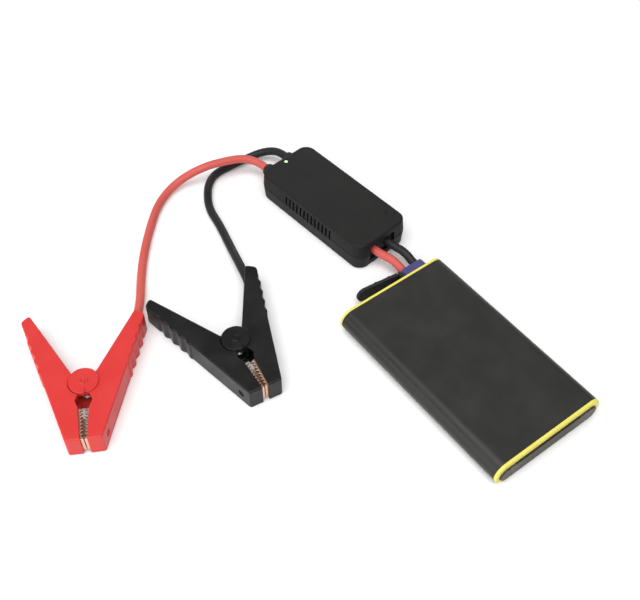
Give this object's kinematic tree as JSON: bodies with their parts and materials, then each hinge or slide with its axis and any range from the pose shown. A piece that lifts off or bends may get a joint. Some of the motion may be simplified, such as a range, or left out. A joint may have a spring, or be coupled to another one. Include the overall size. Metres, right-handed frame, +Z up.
{
  "type": "jump starter pack",
  "caption": "Slim battery bank with trim rings, plug-in control box on two short leads, and two coloured cables with spring clamps.",
  "frame": {"origin": "middle of the battery bank's flat underside, on the surface the object lies on", "axes": "+X across the bank, +Y along the bank towards the end with the sockets, +Z up"},
  "size_m": [0.2534, 0.3027, 0.0205],
  "materials": {
    "sleeve_aluminium": "black anodised satin",
    "yellow_plastic": "satin",
    "smoked_window": "gloss",
    "black_plastic": "fine grain",
    "clear_light": "gloss",
    "green_light": "gloss",
    "mirror_plastic": "polished",
    "button_rubber": "satin",
    "black_rubber": "matt",
    "red_rubber": "matt",
    "blue_plastic": "satin",
    "brass_contact": "plated",
    "copper": "copper plated",
    "cell_foil": "satin foil",
    "circuit_board": "solder mask",
    "plated_steel": "bright",
    "tongue_plastic": "plain",
    "red_plastic": "satin",
    "clamp_black_plastic": "satin"
  },
  "bodies": {
    "bank": {"sleeve": "sleeve_aluminium", "rear_trim_ring": "yellow_plastic", "front_trim_ring": "yellow_plastic", "rear_plate": "black_plastic", "end_screws": "plated_steel", "battery_cells": "cell_foil", "foam_pad": "black_rubber", "main_board": "circuit_board", "board_parts": "black_plastic", "jump_socket": "blue_plastic", "socket_contacts": "brass_contact", "bus_bars": "copper", "data_sockets": "plated_steel", "socket_tongues": "tongue_plastic", "button_switch": "black_plastic", "cover_strap": "black_rubber", "front_window": "smoked_window", "front_frame": "black_plastic", "torch_reflector": "mirror_plastic", "torch_led": "clear_light", "level_lights": "clear_light", "front_board": "circuit_board"},
    "dust_cover": {"dust_cover": "black_rubber"},
    "power_button": {"power_button": "button_rubber"},
    "harness": {"plug_shell": "blue_plastic", "plug_pins": "brass_contact", "short_lead_red": "red_rubber", "short_lead_black": "black_rubber", "box_top": "black_plastic", "box_bottom": "black_plastic", "case_screws": "plated_steel", "strain_block": "black_rubber", "cable_boots": "black_rubber", "control_board": "circuit_board", "relays": "black_plastic", "heat_sink": "cell_foil", "box_capacitor": "cell_foil", "power_chips": "black_plastic", "box_wires": "red_rubber", "status_light": "green_light", "clamp_cable_red": "red_rubber", "clamp_cable_black": "black_rubber", "fixed_jaw_screws": "plated_steel", "pivot_pins": "plated_steel", "cable_crimps": "copper", "red_fixed_cover": "red_plastic", "red_fixed_jaw": "copper", "red_pivot_cap": "red_plastic", "red_torsion_spring": "plated_steel", "black_fixed_cover": "clamp_black_plastic", "black_fixed_jaw": "copper", "black_pivot_cap": "clamp_black_plastic", "black_torsion_spring": "plated_steel"},
    "red_jaw_half": {"red_moving_cover": "red_plastic", "red_moving_jaw": "copper", "red_moving_jaw_screw": "plated_steel"},
    "black_jaw_half": {"black_moving_cover": "clamp_black_plastic", "black_moving_jaw": "copper", "black_moving_jaw_screw": "plated_steel"}
  },
  "joints": [
    {"name": "plug_pull", "type": "slide", "parent": "bank", "child": "harness", "axis": [0, 1, 0], "range_m": [0, 0.025]},
    {"name": "cover_swing", "type": "hinge", "parent": "bank", "child": "dust_cover", "pos_m": [0.0112, 0.073, 0.007], "axis": [0, 0, 1], "range_deg": [-48, 8]},
    {"name": "button_press", "type": "slide", "parent": "bank", "child": "power_button", "axis": [0, -1, 0], "range_m": [0, 0.0005], "stiffness_N_per_m": 1500, "springref_m": -0.0005},
    {"name": "red_clamp_open", "type": "hinge", "parent": "harness", "child": "red_jaw_half", "pos_m": [-0.1853, 0.1173, 0.0075], "axis": [0, 0, -1], "range_deg": [0, 28], "stiffness_Nm_per_rad": 0.8, "springref_deg": -20.05, "deforming": ["red_torsion_spring"]},
    {"name": "black_clamp_open", "type": "hinge", "parent": "harness", "child": "black_jaw_half", "pos_m": [-0.0997, 0.0902, 0.0075], "axis": [0, 0, -1], "range_deg": [0, 28], "stiffness_Nm_per_rad": 0.8, "springref_deg": -20.05, "deforming": ["black_torsion_spring"]}
  ]
}
